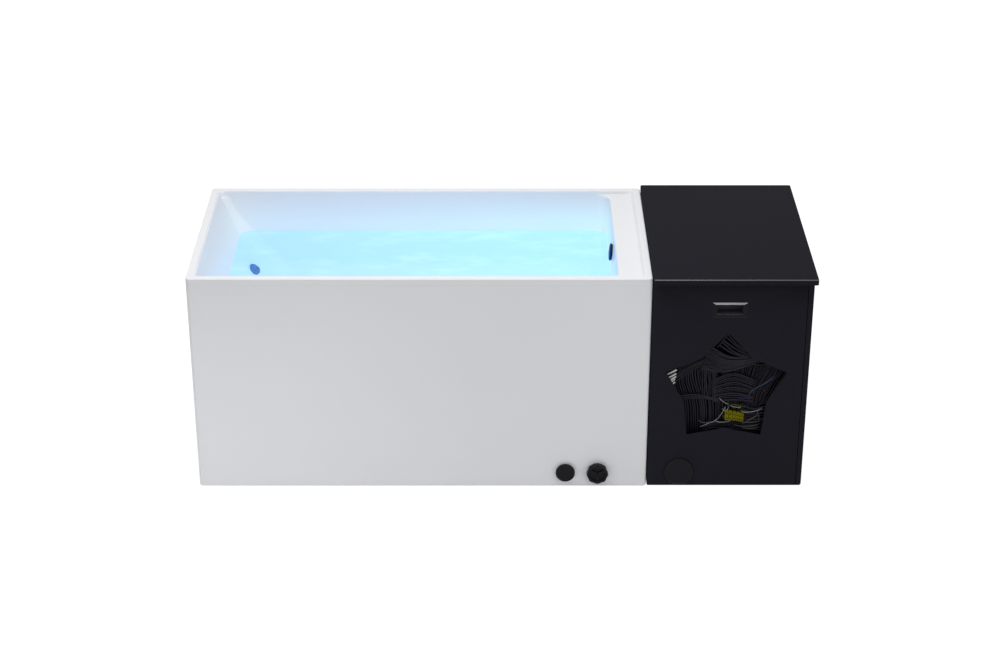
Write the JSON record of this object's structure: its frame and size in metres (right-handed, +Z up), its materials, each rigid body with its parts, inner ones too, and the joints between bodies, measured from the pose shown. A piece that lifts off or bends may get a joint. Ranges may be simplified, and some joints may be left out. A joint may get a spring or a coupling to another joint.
{
  "type": "cold plunge tub",
  "caption": "Free-standing cold plunge tub: white acrylic basin in a straight skirt, with a black chiller cabinet, hinged lid and star-cut front panel at one end.",
  "frame": {"origin": "on the floor, under the middle of the whole object's box", "axes": "+X from the tub towards the cabinet end, +Y from the front to the back, +Z up"},
  "size_m": [2.028, 0.782, 0.782],
  "materials": {
    "acrylic_white": "smooth white acrylic with a soft gloss",
    "powder_coat_black": "fine-textured matt black powder coat",
    "lid_board": "fine-textured matt black board",
    "plastic_black": "satin moulded black plastic",
    "plastic_navy": "satin moulded dark blue plastic",
    "hose_plastic": "pale grey flexible PVC",
    "rubber_black": "matt moulded rubber",
    "steel": "zinc plated",
    "aluminium_fin": "mill finish fins",
    "copper_line": "drawn copper pipe",
    "cable_black": "satin PVC cable sheath",
    "terminal_yellow": "moulded yellow plastic",
    "connector_white": "moulded white plastic"
  },
  "bodies": {
    "root": {"basin": "acrylic_white", "skirt": "acrylic_white", "cross_rail_left": "steel", "cross_rail_right": "steel", "tub_foot_front_left": "rubber_black", "tub_foot_back_left": "rubber_black", "tub_foot_front_right": "rubber_black", "tub_foot_back_right": "rubber_black", "overflow_body": "plastic_black", "overflow_cover": "plastic_navy", "jet_body": "plastic_navy", "jet_nut": "plastic_black", "floor_drain_body": "plastic_black", "floor_drain_grille": "steel", "floor_drain_nut": "plastic_black", "drain_outlet_body": "plastic_black", "port_body": "plastic_black", "drain_hose": "hose_plastic", "overflow_hose": "hose_plastic", "suction_hose": "hose_plastic", "feed_hose": "hose_plastic", "return_hose": "hose_plastic", "cabinet_base": "powder_coat_black", "cabinet_left_side": "powder_coat_black", "cabinet_right_side": "powder_coat_black", "cabinet_back": "powder_coat_black", "front_rail": "powder_coat_black", "panel_magnet_left": "plastic_black", "panel_magnet_right": "plastic_black", "lid_hinge_fixed": "steel", "lid_hinge_pin": "steel", "power_gland": "plastic_black", "loom_plate": "powder_coat_black", "loom_lower_left": "cable_black", "loom_right_fan": "cable_black", "loom_left_branch": "cable_black", "loom_lower_right": "cable_black", "loom_top_sweep": "cable_black", "terminal_block": "terminal_yellow", "wire_connector": "connector_white", "control_box": "plastic_black", "filter_housing": "plastic_black", "pump": "plastic_black", "heat_exchanger": "hose_plastic", "compressor": "plastic_black", "condenser": "aluminium_fin", "fan_frame": "plastic_black", "discharge_line": "copper_line", "vapour_line": "copper_line", "liquid_line": "copper_line"},
    "lid": {"lid": "lid_board", "lid_hinge_moving": "steel"},
    "front_panel": {"front_panel": "powder_coat_black", "pull_cup": "plastic_black", "port_cover": "plastic_black"},
    "drain_knob": {"drain_knob": "plastic_black"},
    "port_cap": {"port_cap": "plastic_black"},
    "jet_eyeball": {"jet_eyeball": "plastic_navy"},
    "fan_rotor": {"fan_rotor": "plastic_black"},
    "filter_cap": {"filter_cap": "plastic_navy"}
  },
  "joints": [
    {"name": "lid_hinge", "type": "hinge", "parent": "root", "child": "lid", "pos_m": [0.747, 0.3835, 0.7572], "axis": [-1, 0, 0], "range_deg": [0, 85]},
    {"name": "front_panel_tilt", "type": "hinge", "parent": "root", "child": "front_panel", "pos_m": [0.7375, -0.357, 0.0063], "axis": [1, 0, 0], "range_deg": [0, 60]},
    {"name": "drain_knob_turn", "type": "hinge", "parent": "root", "child": "drain_knob", "pos_m": [0.321, -0.365, 0.058], "axis": [0, -1, 0], "range_deg": [0, 90]},
    {"name": "port_cap_turn", "type": "hinge", "parent": "root", "child": "port_cap", "pos_m": [0.214, -0.365, 0.058], "axis": [0, -1, 0], "range_deg": [0, 90]},
    {"name": "jet_swivel", "type": "hinge", "parent": "root", "child": "jet_eyeball", "pos_m": [-0.84929, 0.134, 0.50436], "axis": [0, 1, 0], "range_deg": [-20, 20]},
    {"name": "fan_spin", "type": "hinge", "parent": "root", "child": "fan_rotor", "pos_m": [0.828, 0.27, 0.1443], "axis": [0, 1, 0], "continuous": true},
    {"name": "filter_cap_turn", "type": "hinge", "parent": "root", "child": "filter_cap", "pos_m": [0.576, 0.016, 0.42], "axis": [0, 0, 1], "range_deg": [0, 90]}
  ]
}
